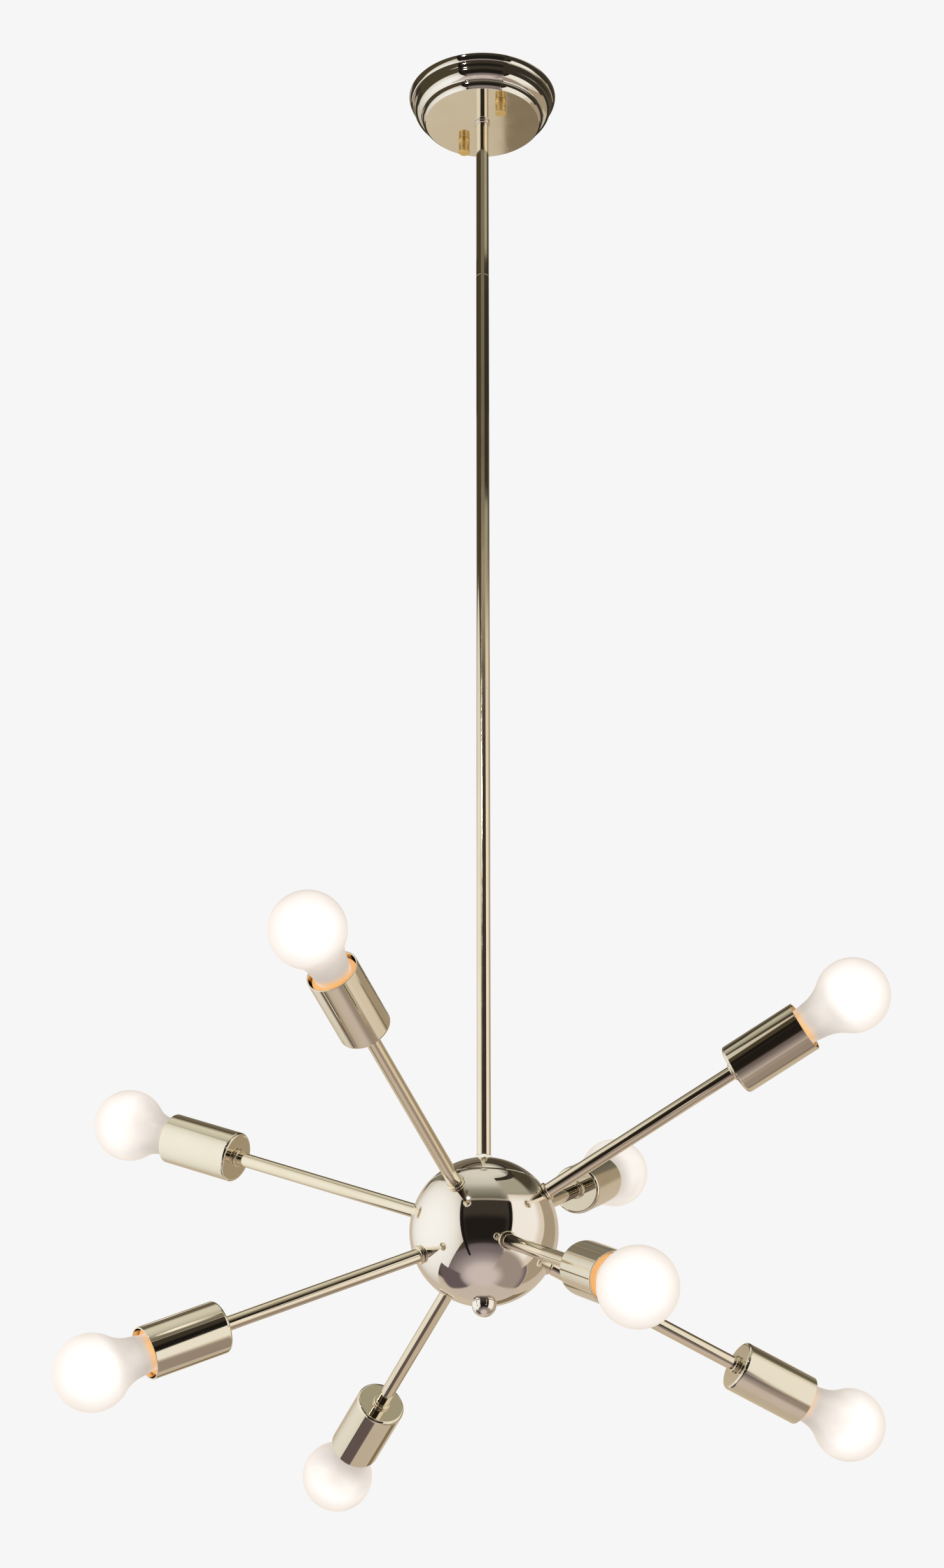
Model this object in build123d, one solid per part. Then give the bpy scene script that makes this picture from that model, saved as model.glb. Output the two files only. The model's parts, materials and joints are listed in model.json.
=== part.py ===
from build123d import *
from math import ceil, cos, radians, sin, sqrt
import os

# Chandelier with a ball and eight lamp arms, hung from a ceiling box. Millimetres.
# Origin: centre of the crossbar's top face, on the ceiling. +Z is up, X runs along the crossbar.

# Ceiling box fixing
crossbar_length = 108.0
crossbar_width = 16.0
crossbar_thickness = 2.0
box_screw_spacing = 88.9
box_slot_length = 11.0
box_slot_width = 4.8
crossbar_centre_hole = 10.0
stud_spacing = 69.85
stud_diameter = 4.1
stud_below_canopy = 9.0
stud_nut_across = 8.7
stud_nut_thickness = 3.2
ground_screw_x = 22.0
ground_screw_y = -1.9
ground_screw_shank = 3.4
ground_screw_head = 7.2
ground_screw_head_thickness = 2.0

# Canopy
canopy_diameter = 137.2
canopy_depth = 29.0
canopy_wall = 1.2
canopy_face_diameter = 105.8
cap_nut_diameter = 10.4
cap_nut_length = 12.0
cap_nut_bore_depth = 10.0
cap_nut_chamfer = 0.6
cap_nut_groove_depth = 0.45
cap_nut_groove_width = 1.0
cap_nut_groove_height = 2.2
cap_nut_slot_width = 1.3
cap_nut_slot_depth = 0.9
collar_diameter = 14.2
collar_thickness = 3.0

# Stem
stem_diameter = 11.5
short_rod_length = 170.0
long_rod_length = 427.5
coupler_length = 24.0
rod_end_chamfer = 0.3

# Hollow threaded tube that joins the rods, the arms and the ball
nipple_diameter = 8.0
nipple_bore = 5.5
nipple_reach = 15.0
nipple_past_nut = 5.0
lock_nut_across = 13.0
lock_nut_thickness = 3.5
arm_nut_across = 12.0
arm_nut_thickness = 3.0
thread_gap = 0.05
seat_gap = 0.05

# Ball
ball_diameter = 120.0
ball_wall = 2.5
seam_height = 37.4
seam_chamfer = 0.35
lid_lip_depth = 3.0
lid_lip_thickness = 1.5
lid_lip_gap = 0.15
ball_nut_across = 13.8
ball_nut_thickness = 4.2
finial_diameter = 20.0
finial_height = 11.0
finial_bore_depth = 7.5
terminal_diameter = 30.0
terminal_height = 22.0
terminal_hole = 4.8
terminal_hole_depth = 4.0

# Arms: heading about +Z from +X, and tilt above the level, in degrees, one pair an arm
arm_headings = [36.0, 86.0, 129.0, 173.0, 218.5, 262.0, 307.0, 350.5]
arm_tilts = [25.0, -19.5, 26.5, -19.0, 23.0, -25.5, 22.0, -24.5]
arm_tube_diameter = 11.5
arm_tube_bore = 9.5
check_ring_diameter = 15.3
check_ring_thickness = 3.0
check_ring_bevel = 1.0

# The cup's back plate stands this far from the ball's centre, measured along an arm
cup_back_reach = 242.0
cup_length = 66.0

# Socket cup and lampholder
cup_diameter = 41.8
cup_wall = 1.2
cup_plate = 1.5
cup_back_bevel = 1.8
holder_diameter = 36.0
holder_recess = 4.5
holder_base = 6.0
holder_gap = 0.05

# Bulb
bulb_diameter = 60.4
bulb_glass_wall = 0.9
bulb_blend_angle = 39.0
bulb_blend_radius = 33.6
bulb_neck_slope = 6.0
bulb_neck_length = 49.3
bulb_neck_end_diameter = 28.4
bulb_cap_diameter = 26.0
bulb_cap_length = 23.2
bulb_insulator_length = 3.6
bulb_insulator_tip_diameter = 16.0
bulb_contact_diameter = 9.0
bulb_contact_thickness = 0.8
bulb_seat_gap = 0.5
bulb_cap_gap = 0.4
bulb_contact_gap = 0.3

# Wiring
lead_width = 4.2
lead_thickness = 2.1
wire_diameter = 1.8
wire_ring_radius = 1.15
wire_bend_radius = 6.0
wire_headings = [300.0, 240.0, 0.0]
wire_places = [300.0, 180.0, 60.0]
connector_reach = 16.0
connector_length = 22.0
connector_mouth_diameter = 12.0
connector_tip_diameter = 7.0
connector_drop = 7.0
connector_hole_depth = 6.0
wire_gap = 0.15

# Repeated and hidden round walls have flat sides round the axis and chords along their outline,
# each of at most these many degrees, which keeps their faces few
finial_chord = 10.0
cavity_sides = 24
cavity_chord = 15.0
bulb_sides = 36
bulb_chord = 14.0
bulb_inner_sides = 18
bulb_inner_chord = 36.0

# Places worked out from the sizes above
canopy_bottom = -canopy_depth
canopy_floor = canopy_bottom + canopy_wall
stem_top = canopy_bottom - collar_thickness
upper_seam = stem_top - short_rod_length
lower_seam = upper_seam - long_rod_length
stem_bottom = lower_seam - long_rod_length
ball_radius = ball_diameter / 2
ball_inner_radius = ball_radius - ball_wall
nipple_radius = nipple_diameter / 2
thread_radius = nipple_radius + thread_gap
ball_nut_seat = sqrt(ball_radius ** 2 - thread_radius ** 2) + seat_gap
ball_centre_z = stem_bottom - ball_nut_thickness - ball_nut_seat
ring_seat = ball_nut_seat
arm_start = ring_seat + check_ring_thickness
arm_end = cup_back_reach - check_ring_thickness
cup_mouth = cup_back_reach + cup_length
cup_floor = cup_back_reach + cup_plate
holder_start = cup_floor + arm_nut_thickness + 2 * holder_gap
holder_mouth = cup_mouth - holder_recess
bulb_cap_top = holder_mouth + bulb_seat_gap
bulb_reach = bulb_cap_top + bulb_neck_length
bulb_tip = bulb_cap_top - bulb_cap_length - bulb_insulator_length - bulb_contact_thickness
arm_rod_end = holder_start + holder_base
stud_bottom = canopy_bottom - stud_below_canopy


def export(name, *solids):
    # One node: a single solid, or a group of separate solids
    shape = solids[0] if len(solids) == 1 else Compound(children=list(solids))
    export_step(shape, f"parts/{name}.step")


def pipe(outer_diameter, inner_diameter, low, high):
    height = high - low
    solid = Cylinder(outer_diameter / 2, height)
    if inner_diameter:
        solid -= Cylinder(inner_diameter / 2, height)
    return Pos(0, 0, (low + high) / 2) * solid


def turned(*points):
    # A round piece from its half outline: (radius, height) points beside the axis
    outline = Polyline(*points, close=True)
    return revolve(Plane.XZ * make_face(outline), Axis.Z)


def flat_sided(sides, *points):
    # A turned piece with flat sides in place of round walls, from its outline as above
    angles = [radians(360 * step / sides) for step in range(sides)]
    rings = []
    for radius, height in points:
        level = 0 if radius < 0.001 else radius
        rings.append([(level * cos(a), level * sin(a), height) for a in angles])
    corners = []
    for low_ring, high_ring in zip(rings, rings[1:]):
        for side in range(sides):
            after = (side + 1) % sides
            corners.append([low_ring[side], low_ring[after], high_ring[after], high_ring[side]])
    faces = [Face(Wire.make_polygon(list(dict.fromkeys(corner)))) for corner in corners]
    return Solid(Shell(faces))


def arc_points(centre_radius, centre_height, radius, start, end, chord):
    # Points on an arc, its angles in degrees from level, joined by chords of at most the given angle
    count = ceil(abs(end - start) / chord)
    angles = [radians(start + (end - start) * step / count) for step in range(count + 1)]
    return [(centre_radius + radius * cos(a), centre_height + radius * sin(a)) for a in angles]


def hex_nut(across, low, high, bore_radius):
    blank = extrude(RegularPolygon(across / 2, 6, major_radius=False), high - low)
    return Pos(0, 0, low) * (blank - pipe(2 * bore_radius, 0, 0, high - low))


def check_ring(diameter, thickness, low):
    # Bevelled from both faces to a crest, as a bead
    crest = diameter / 2
    face = crest - check_ring_bevel
    return turned(
        (thread_radius, low),
        (face, low),
        (crest, low + thickness / 2),
        (face, low + thickness),
        (thread_radius, low + thickness),
    )


def rod(outer_diameter, bore_diameter, low, high):
    tube = pipe(outer_diameter, bore_diameter, low, high)
    rims = tube.edges().filter_by(GeomType.CIRCLE).group_by(SortBy.RADIUS)[-1]
    return chamfer(rims, rod_end_chamfer)


def arm_direction(heading, tilt):
    level = cos(radians(tilt))
    return Vector(level * cos(radians(heading)), level * sin(radians(heading)), sin(radians(tilt)))


def arm_location(heading, tilt):
    # Local +Z runs out along the arm from the ball's centre, and local X stays level
    direction = arm_direction(heading, tilt)
    across = Vector(-sin(radians(heading)), cos(radians(heading)), 0)
    return Plane((0, 0, ball_centre_z), x_dir=across, z_dir=direction).location


arm_locations = [arm_location(*pair) for pair in zip(arm_headings, arm_tilts)]


# Ceiling fixing

def make_crossbar():
    bar = extrude(SlotOverall(crossbar_length, crossbar_width), -crossbar_thickness)
    slot = extrude(SlotOverall(box_slot_length, box_slot_width), -crossbar_thickness)
    bar -= pipe(crossbar_centre_hole, 0, -crossbar_thickness, 0)
    ground_hole = pipe(ground_screw_shank + 2 * thread_gap, 0, -crossbar_thickness, 0)
    bar -= Pos(ground_screw_x, ground_screw_y) * ground_hole
    for side in (-1, 1):
        bar -= Pos(side * box_screw_spacing / 2) * slot
        bar -= Pos(side * stud_spacing / 2) * pipe(stud_diameter + 2 * thread_gap, 0, -crossbar_thickness, 0)
    return bar


def make_ground_screw():
    head_top = -crossbar_thickness - wire_diameter - 2 * wire_gap
    shank = pipe(ground_screw_shank, 0, head_top, -seat_gap)
    head = pipe(ground_screw_head, 0, head_top - ground_screw_head_thickness, head_top)
    return Pos(ground_screw_x, ground_screw_y) * (shank + head)


stud = pipe(stud_diameter, 0, stud_bottom, -seat_gap)
stud_nut_top = -crossbar_thickness
stud_hole_radius = stud_diameter / 2 + thread_gap
stud_nut = hex_nut(stud_nut_across, stud_nut_top - stud_nut_thickness, stud_nut_top, stud_hole_radius)
stud_places = [Pos(side * stud_spacing / 2) for side in (-1, 1)]


# Canopy: a spun bowl, stepped from its rim to the flat face

def canopy_steps(inset):
    # Shares of the run from rim to face, and of the depth: band, groove, band, bulge, cove, step
    rim = canopy_diameter / 2 - inset
    run = rim - (canopy_face_diameter / 2 - inset)
    depth = canopy_depth - inset
    shares = [(0, 0), (0.03, 0.10), (0.14, 0.19), (0.19, 0.215), (0.21, 0.30), (0.28, 0.41), (0.33, 0.51),
              (0.53, 0.67), (0.72, 0.72), (0.76, 0.75), (0.79, 0.87), (0.90, 0.97), (1, 1)]
    kept = shares if inset == 0 else shares[::2]
    return [(rim - run * across, -depth * down) for across, down in kept]


def make_canopy():
    outside = canopy_steps(0)
    inside = canopy_steps(canopy_wall)
    bowl = turned(*outside, (thread_radius, canopy_bottom), (thread_radius, canopy_floor), *inside[::-1])
    for place in stud_places:
        bowl -= place * pipe(stud_diameter + 4 * thread_gap, 0, canopy_bottom, canopy_floor)
    return bowl


def make_cap_nut():
    low = canopy_bottom - cap_nut_length
    radius = cap_nut_diameter / 2
    groove_high = canopy_bottom - cap_nut_groove_height
    groove_low = groove_high - cap_nut_groove_width
    nut = turned(
        (0, low),
        (radius - cap_nut_chamfer, low),
        (radius, low + cap_nut_chamfer),
        (radius, groove_low),
        (radius - cap_nut_groove_depth, (groove_low + groove_high) / 2),
        (radius, groove_high),
        (radius, canopy_bottom),
        (0, canopy_bottom),
    )
    nut -= pipe(stud_diameter + 2 * thread_gap, 0, canopy_bottom - cap_nut_bore_depth, canopy_bottom)
    return nut - Pos(0, 0, low) * Box(2 * cap_nut_diameter, cap_nut_slot_width, 2 * cap_nut_slot_depth)


cap_nut = make_cap_nut()
canopy_nut_top = canopy_floor + lock_nut_thickness
nipple_top = canopy_nut_top + nipple_past_nut
canopy_nipple = pipe(nipple_diameter, nipple_bore, stem_top - nipple_reach, nipple_top)
canopy_collar = check_ring(collar_diameter, collar_thickness, stem_top)
canopy_lock_nut = hex_nut(lock_nut_across, canopy_floor, canopy_nut_top, thread_radius)


# Stem: three tubes screwed together on hidden couplers

def make_coupler(seam):
    return pipe(nipple_diameter, nipple_bore, seam - coupler_length / 2, seam + coupler_length / 2)


# Ball: a body that carries the arms and a lid above the seam, clamped by one hollow rod

def above(height):
    # Everything above a level through the ball
    size = 3 * ball_radius
    return Pos(0, 0, height + size / 2) * Box(size, size, size)


ball_cavity = flat_sided(cavity_sides, *arc_points(0, 0, ball_inner_radius, -90, 90, cavity_chord))
cavity_share = cos(radians(180 / cavity_sides)) * cos(radians(cavity_chord / 2))


def make_ball_body():
    body = Sphere(ball_radius) - above(seam_height)
    body = chamfer(body.edges().group_by(Axis.Z)[-1], seam_chamfer)
    body -= ball_cavity
    body -= pipe(2 * thread_radius, 0, -2 * ball_radius, 0)
    for heading, tilt in zip(arm_headings, arm_tilts):
        outward = Plane((0, 0, 0), z_dir=arm_direction(heading, tilt)).location
        body -= outward * pipe(2 * thread_radius, 0, ball_inner_radius / 2, 2 * ball_radius)
    return Pos(0, 0, ball_centre_z) * body


def make_ball_lid():
    lid = Sphere(ball_radius) & above(seam_height)
    lid = chamfer(lid.edges().group_by(Axis.Z)[0], seam_chamfer)
    lid -= ball_cavity
    mouth = sqrt(ball_inner_radius ** 2 - seam_height ** 2) * cavity_share - lid_lip_gap
    lip_end = seam_height - lid_lip_depth
    lid += pipe(2 * mouth, 2 * (mouth - lid_lip_thickness), lip_end, seam_height + ball_wall)
    lid -= pipe(2 * thread_radius, 0, 0, 2 * ball_radius)
    return Pos(0, 0, ball_centre_z) * lid


def make_finial():
    # A half ball on a short rim, its top face dished to a cone that sits round the ball's pole
    radius = finial_diameter / 2
    rim = -ball_radius - (finial_height - radius)
    dish = seat_gap + (radius - thread_radius) ** 2 / 8 / ball_radius
    seat = -sqrt(ball_radius ** 2 - thread_radius ** 2) - dish
    face_rim = -sqrt(ball_radius ** 2 - radius ** 2) - dish
    bore_end = -ball_radius - finial_bore_depth
    dome = arc_points(0, rim, radius, -90, 0, finial_chord)
    return Pos(0, 0, ball_centre_z) * turned(
        *dome, (radius, face_rim), (thread_radius, seat), (thread_radius, bore_end), (0, bore_end))


def make_ball_rod():
    low = -ball_radius - finial_bore_depth + seat_gap
    high = ball_nut_seat + ball_nut_thickness + nipple_reach
    tube = pipe(nipple_diameter, nipple_bore, low, high)
    window = Rot(0, 90, 0) * pipe(nipple_bore - 2 * seat_gap, 0, 0, nipple_diameter)
    return Pos(0, 0, ball_centre_z) * (tube - window)


def make_terminal_block():
    block = pipe(terminal_diameter, 2 * thread_radius, -terminal_height / 2, terminal_height / 2)
    for heading, tilt in zip(arm_headings, arm_tilts):
        outward = Plane((0, 0, 0), z_dir=arm_direction(heading, tilt)).location
        hole_bottom = terminal_diameter / 2 / cos(radians(tilt)) - terminal_hole_depth
        block -= outward * pipe(terminal_hole, 0, hole_bottom, terminal_diameter)
    return Pos(0, 0, ball_centre_z) * block


def nut_face(across):
    # How far out a hex nut's flat face reaches inside the ball's flat-sided wall
    corner = across / 2 / cos(radians(30))
    return sqrt((ball_inner_radius * cavity_share) ** 2 - corner ** 2) - seat_gap


inner_nut_face = nut_face(lock_nut_across)
lid_lock_nut = Pos(0, 0, ball_centre_z) * hex_nut(
    lock_nut_across, inner_nut_face - lock_nut_thickness, inner_nut_face, thread_radius)
floor_lock_nut = Pos(0, 0, ball_centre_z) * hex_nut(
    lock_nut_across, -inner_nut_face, lock_nut_thickness - inner_nut_face, thread_radius)
ball_nut = Pos(0, 0, ball_centre_z) * hex_nut(
    ball_nut_across, ball_nut_seat, ball_nut_seat + ball_nut_thickness, thread_radius)


# Arms, modelled along +Z from the ball's centre and then turned to their places

arm_nut_face = nut_face(arm_nut_across)
arm_tube = pipe(arm_tube_diameter, arm_tube_bore, arm_start, arm_end)
arm_rings = [
    check_ring(check_ring_diameter, check_ring_thickness, ring_seat),
    check_ring(check_ring_diameter, check_ring_thickness, arm_end),
]
arm_rod = pipe(nipple_diameter, nipple_bore, arm_nut_face - arm_nut_thickness - nipple_past_nut, arm_rod_end)
cup_nut_face = cup_floor + holder_gap
arm_nuts = [
    hex_nut(arm_nut_across, arm_nut_face - arm_nut_thickness, arm_nut_face, thread_radius),
    hex_nut(arm_nut_across, cup_nut_face, cup_nut_face + arm_nut_thickness, thread_radius),
]


def make_cup():
    radius = cup_diameter / 2
    inside = radius - cup_wall
    return turned(
        (thread_radius, cup_back_reach),
        (radius - cup_back_bevel, cup_back_reach),
        (radius, cup_back_reach + cup_back_bevel),
        (radius, cup_mouth),
        (inside, cup_mouth),
        (inside, cup_floor),
        (thread_radius, cup_floor),
    )


def make_lampholder():
    radius = holder_diameter / 2
    bore = bulb_cap_diameter / 2 + bulb_cap_gap
    bore_floor = bulb_tip - bulb_contact_gap
    return turned(
        (thread_radius, holder_start),
        (radius, holder_start),
        (radius, holder_mouth),
        (bore, holder_mouth),
        (bore, bore_floor),
        (0, bore_floor),
        (0, arm_rod_end + seat_gap),
        (thread_radius, arm_rod_end + seat_gap),
    )


def make_arm_lead():
    start = terminal_diameter / 2 - terminal_hole_depth + lead_thickness
    length = arm_rod_end - seat_gap - start
    return Pos(0, 0, start + length / 2) * Box(lead_width, lead_thickness, length)


# Bulb: a hollow envelope on a screw base, centred at bulb_reach

def bulb_outline(inset, chord):
    # From the crown to the neck's end: a ball, a concave waist and a slight taper
    radius = bulb_diameter / 2 - inset
    waist_radius = bulb_blend_radius + inset
    reach = radius + waist_radius
    blend = radians(bulb_blend_angle)
    waist_centre = (reach * cos(blend), bulb_reach - reach * sin(blend))
    crown = arc_points(0, bulb_reach, radius, 90, -bulb_blend_angle, chord)
    waist = arc_points(*waist_centre, waist_radius, 180 - bulb_blend_angle, 180 - bulb_neck_slope, bulb_chord)
    return [*crown, *waist[1:], (bulb_neck_end_diameter / 2 - inset, bulb_cap_top)]


def make_bulb_glass():
    outside = bulb_outline(0, bulb_chord)
    inside = bulb_outline(bulb_glass_wall, bulb_inner_chord)
    envelope = flat_sided(bulb_sides, *outside, (0, bulb_cap_top))
    return envelope - flat_sided(bulb_inner_sides, *inside, (0, bulb_cap_top))


def make_bulb_base():
    # Screw shell, insulator cone and contact, pressed into one
    radius = bulb_cap_diameter / 2
    shell_low = bulb_cap_top - bulb_cap_length
    insulator_low = shell_low - bulb_insulator_length
    contact = bulb_contact_diameter / 2
    return flat_sided(
        bulb_sides,
        (0, bulb_cap_top),
        (radius, bulb_cap_top),
        (radius, shell_low),
        (bulb_insulator_tip_diameter / 2, insulator_low),
        (contact, insulator_low),
        (contact, bulb_tip),
        (0, bulb_tip),
    )


# Wiring

def wire_place(place, height):
    return Vector(wire_ring_radius * cos(radians(place)), wire_ring_radius * sin(radians(place)), height)


def make_supply_wire(place, heading, drop, run):
    # From the terminal block up the stem, over a bend in the canopy and out level to its end
    start = wire_place(place, ball_centre_z)
    out = Vector(cos(radians(heading)), sin(radians(heading)), 0)
    up = Vector(0, 0, 1)
    bend_low = Vector(start.X, start.Y, -drop - wire_bend_radius)
    bend_high = bend_low + (up + out) * wire_bend_radius
    rise = wire_bend_radius * sin(radians(45))
    bend_middle = bend_low + up * rise + out * (wire_bend_radius - rise)
    path = Wire([
        Edge.make_line(start, bend_low),
        Edge.make_three_point_arc(bend_low, bend_middle, bend_high),
        Edge.make_line(bend_high, bend_high + out * run),
    ])
    section = Plane(start, z_dir=up) * Circle(wire_diameter / 2)
    return sweep(section, path=path)


def make_wire_connector(place, heading):
    mouth = connector_mouth_diameter / 2
    tip = connector_tip_diameter / 2
    hole = wire_diameter / 2 + wire_gap
    cap = turned(
        (hole, 0),
        (mouth, 0),
        (mouth, connector_length / 3),
        (tip, connector_length),
        (0, connector_length),
        (0, connector_hole_depth),
        (hole, connector_hole_depth),
    )
    out = Vector(cos(radians(heading)), sin(radians(heading)), 0)
    return Plane(wire_place(place, -connector_drop) + out * connector_reach, z_dir=out).location * cap


wire_run = connector_reach + connector_hole_depth - wire_gap - wire_bend_radius
ground_run = ground_screw_x + ground_screw_shank - wire_bend_radius
ground_drop = crossbar_thickness + wire_diameter / 2 + wire_gap
supply_wires = [
    make_supply_wire(wire_places[0], wire_headings[0], connector_drop, wire_run),
    make_supply_wire(wire_places[1], wire_headings[1], connector_drop, wire_run),
    make_supply_wire(wire_places[2], wire_headings[2], ground_drop, ground_run),
]
connectors = [make_wire_connector(*pair) for pair in zip(wire_places[:2], wire_headings[:2])]


# Nodes

os.makedirs("parts", exist_ok=True)

export("crossbar", make_crossbar())
export("crossbar_studs", *[place * stud for place in stud_places])
export("stud_lock_nuts", *[place * stud_nut for place in stud_places])
export("ground_screw", make_ground_screw())
export("canopy", make_canopy())
export("cap_nut_1", stud_places[0] * cap_nut)
export("cap_nut_2", stud_places[1] * cap_nut)
export("canopy_nipple", canopy_nipple)
export("canopy_collar", canopy_collar)
export("stem_upper", rod(stem_diameter, 2 * thread_radius, upper_seam, stem_top))
export("stem_middle", rod(stem_diameter, 2 * thread_radius, lower_seam, upper_seam))
export("stem_lower", rod(stem_diameter, 2 * thread_radius, stem_bottom, lower_seam))
export("stem_couplers", make_coupler(upper_seam), make_coupler(lower_seam))
export("ball_body", make_ball_body())
export("ball_lid", make_ball_lid())
export("ball_nut", ball_nut)
export("ball_rod", make_ball_rod())
export("rod_lock_nuts", canopy_lock_nut, lid_lock_nut, floor_lock_nut)
export("finial", make_finial())
export("terminal_block", make_terminal_block())
export("supply_leads", *supply_wires)
export("wire_connectors", *connectors)

cup = make_cup()
lampholder = make_lampholder()
bulb_glass = make_bulb_glass()
bulb_base = make_bulb_base()
arm_lead = make_arm_lead()

for number, place in enumerate(arm_locations, start=1):
    export(f"arm_tube_{number}", place * arm_tube)
    export(f"socket_cup_{number}", place * cup)
    export(f"bulb_glass_{number}", place * bulb_glass)
    export(f"bulb_base_{number}", place * bulb_base)

export("arm_check_rings", *[place * ring for place in arm_locations for ring in arm_rings])
export("arm_rods", *[place * arm_rod for place in arm_locations])
export("arm_lock_nuts", *[place * nut for place in arm_locations for nut in arm_nuts])
export("lampholders", *[place * lampholder for place in arm_locations])
export("arm_leads", *[place * arm_lead for place in arm_locations])
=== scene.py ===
import json
import math

import bmesh
import bpy
from mathutils import Matrix, Vector


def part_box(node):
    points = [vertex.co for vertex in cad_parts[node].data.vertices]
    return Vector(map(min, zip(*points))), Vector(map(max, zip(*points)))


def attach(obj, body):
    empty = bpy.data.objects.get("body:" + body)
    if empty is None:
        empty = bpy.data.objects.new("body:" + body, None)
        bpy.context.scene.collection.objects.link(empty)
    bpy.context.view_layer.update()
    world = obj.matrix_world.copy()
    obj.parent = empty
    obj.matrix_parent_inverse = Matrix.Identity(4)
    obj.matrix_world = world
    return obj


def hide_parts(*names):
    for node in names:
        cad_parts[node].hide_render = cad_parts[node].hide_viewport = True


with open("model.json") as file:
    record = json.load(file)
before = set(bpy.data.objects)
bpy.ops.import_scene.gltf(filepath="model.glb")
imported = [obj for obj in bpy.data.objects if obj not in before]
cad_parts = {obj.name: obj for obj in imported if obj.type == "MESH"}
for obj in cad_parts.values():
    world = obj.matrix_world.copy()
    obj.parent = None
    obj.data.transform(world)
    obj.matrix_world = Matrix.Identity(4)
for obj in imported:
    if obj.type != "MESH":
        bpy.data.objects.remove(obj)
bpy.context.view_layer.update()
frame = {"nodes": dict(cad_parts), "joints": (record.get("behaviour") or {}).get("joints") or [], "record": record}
print("frame loaded:", len(frame["nodes"]), "nodes")

mm = 0.001
mainBody = "chandelier"
armAxes = [Vector(j["axis"]).normalized() for j in frame["joints"] if j["child"].startswith("bulb_")]
armNumbers = range(1, len(armAxes) + 1)

# places along the lamp, in millimetres
places = {"canopyFace": -29.0, "stemTop": -32.0, "upperSeam": -202.0, "lowerSeam": -629.5,
          "stemBottom": -1057.0, "seamHeight": 37.4, "ringSeat": 59.913, "threadRadius": 4.05}
ballCentre = Vector((0, 0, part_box("ball_body")[1].z - places["seamHeight"] * mm))
ballPlace = Matrix.Translation(ballCentre)


def shade(red, green, blue):
    # a colour as it looks on a screen, 0 to 255, as light values
    values = [channel / 255 for channel in (red, green, blue)]
    return [v / 12.92 if v <= 0.04045 else ((v + 0.055) / 1.055) ** 2.4 for v in values] + [1.0]


def arcSpots(centreRadius, centreHeight, radius, start, end, count):
    angles = [math.radians(start + (end - start) * step / count) for step in range(count + 1)]
    return [(centreRadius + radius * math.cos(a), centreHeight + radius * math.sin(a)) for a in angles]


def bowed(first, last, rise, count):
    # spots between two corners on an arc that rises to the left of the way from first to last
    a, b = Vector(first), Vector(last)
    side = Vector((a.y - b.y, b.x - a.x)).normalized()
    spots = []
    for step in range(1, count):
        t = step / count
        spots.append(tuple(a.lerp(b, t) + side * rise * 4 * t * (1 - t)))
    return spots


bends = {"share": 0.45, "degrees": 15, "support": 0.15, "shortest": 4}


def softened(corners, support=bends["support"]):
    # corners are (radius, height) or (radius, height, rounding)
    # straight runs get a loop close to each rounding
    spots = []
    for index, corner in enumerate(corners):
        here = Vector(corner[:2])
        rounding = corner[2] if len(corner) > 2 else 0
        if not rounding:
            spots.append((here, False))
            continue
        before = Vector(corners[index - 1][:2])
        after = Vector(corners[(index + 1) % len(corners)][:2])
        back, ahead = before - here, after - here
        opening = back.angle(ahead)
        longest = bends["share"] * min(back.length, ahead.length)
        reach = min(rounding / math.tan(opening / 2), longest)
        radius = reach * math.tan(opening / 2)
        start, end = here + back.normalized() * reach, here + ahead.normalized() * reach
        inward = (back.normalized() + ahead.normalized()).normalized()
        centre = here + inward * (radius / math.sin(opening / 2))
        turn = math.pi - opening
        steps = max(3, math.ceil(math.degrees(turn) / bends["degrees"]))
        first, last = start - centre, end - centre
        for step in range(steps + 1):
            t = step / steps
            arm = (first * math.sin((1 - t) * turn) + last * math.sin(t * turn)) / math.sin(turn)
            spots.append((centre + arm, step in (0, steps)))
    line = []
    for index, (spot, edge) in enumerate(spots):
        line.append(tuple(spot))
        after, afterEdge = spots[(index + 1) % len(spots)]
        run = after - spot
        if run.length > bends["shortest"] * support:
            if edge:
                line.append(tuple(spot + run.normalized() * support))
            if afterEdge:
                line.append(tuple(after - run.normalized() * support))
    return line


def turnedMesh(name, outlines, steps, wave=None, sharp=32):
    # spins each closed outline round Z; wave(radius, height, angle) may press a thread into it
    bm = bmesh.new()
    for outline in outlines:
        rings = []
        for step in range(steps):
            angle = 2 * math.pi * step / steps
            ring = []
            for radius, height in outline:
                r = wave(radius, height, angle) if wave else radius
                ring.append(bm.verts.new((r * math.cos(angle) * mm, r * math.sin(angle) * mm, height * mm)))
            rings.append(ring)
        for step in range(steps):
            here, after = rings[step], rings[(step + 1) % steps]
            for run in range(len(outline)):
                top = (run + 1) % len(outline)
                bm.faces.new((here[run], here[top], after[top], after[run]))
    bmesh.ops.remove_doubles(bm, verts=bm.verts, dist=1e-7)
    bmesh.ops.dissolve_degenerate(bm, edges=bm.edges, dist=1e-8)
    bmesh.ops.recalc_face_normals(bm, faces=bm.faces)
    return finishedMesh(name, bm, sharp)


def meshOf(name, bm):
    mesh = bpy.data.meshes.new(name)
    bm.to_mesh(mesh)
    bm.free()
    return mesh


def finishedMesh(name, bm, sharp):
    # smooth but for edges over sharp degrees, with each spot's own place kept for the finishes
    mesh = meshOf(name, bm)
    mesh.polygons.foreach_set("use_smooth", [True] * len(mesh.polygons))
    mesh.set_sharp_from_angle(angle=math.radians(sharp))
    spots = mesh.attributes.new("localSpot", "FLOAT_VECTOR", "POINT")
    spots.data.foreach_set("vector", [c for vertex in mesh.vertices for c in vertex.co])
    return mesh


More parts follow.
